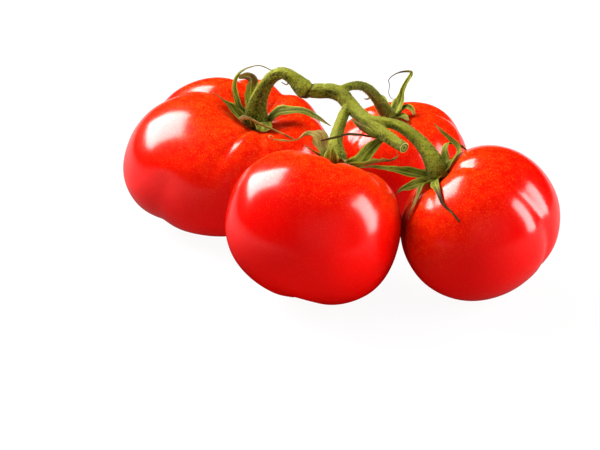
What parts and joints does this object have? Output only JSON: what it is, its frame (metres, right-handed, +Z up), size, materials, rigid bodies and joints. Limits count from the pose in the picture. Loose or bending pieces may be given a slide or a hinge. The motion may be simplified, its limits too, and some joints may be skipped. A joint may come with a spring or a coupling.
{
  "type": "truss of tomatoes",
  "caption": "Truss of ripe red vine tomatoes lying on its fruits, with branching green main stem, fruit stalks and curled sepals.",
  "frame": {"origin": "middle of the truss's footprint, on the surface that the fruits rest on", "axes": "+Z up from the surface, +X along the truss's longest extent, from the largest fruit's side to the right-hand fruit's side, +Y away from the two front fruits towards the two rear ones"},
  "size_m": [0.1796, 0.151, 0.0762],
  "materials": {
    "skin": "glossy ripe tomato skin, red with orange-red on the sunny side and fine golden specks",
    "stem": "downy green stem, paler on top, with darker flecks and a brownish joint",
    "sepal": "thin green sepal with a paler midrib, drying to tan at the edges and tip"
  },
  "bodies": {
    "root": {"bract": "sepal", "main_stem": "stem", "sepal_back_1": "sepal", "sepal_back_2": "sepal", "sepal_back_3": "sepal", "sepal_back_4": "sepal", "sepal_back_5": "sepal", "sepal_front_1": "sepal", "sepal_front_2": "sepal", "sepal_front_3": "sepal", "sepal_front_4": "sepal", "sepal_front_5": "sepal", "sepal_front_6": "sepal", "sepal_left_1": "sepal", "sepal_left_2": "sepal", "sepal_left_3": "sepal", "sepal_left_4": "sepal", "sepal_left_5": "sepal", "sepal_left_6": "sepal", "sepal_right_1": "sepal", "sepal_right_2": "sepal", "sepal_right_3": "sepal", "sepal_right_4": "sepal", "sepal_right_5": "sepal", "sepal_right_6": "sepal", "sepal_right_7": "sepal", "stalk_back": "stem", "stalk_front": "stem", "stalk_left": "stem", "stalk_right": "stem", "tomato_back": "skin", "tomato_front": "skin", "tomato_left": "skin", "tomato_right": "skin"}
  },
  "joints": []
}
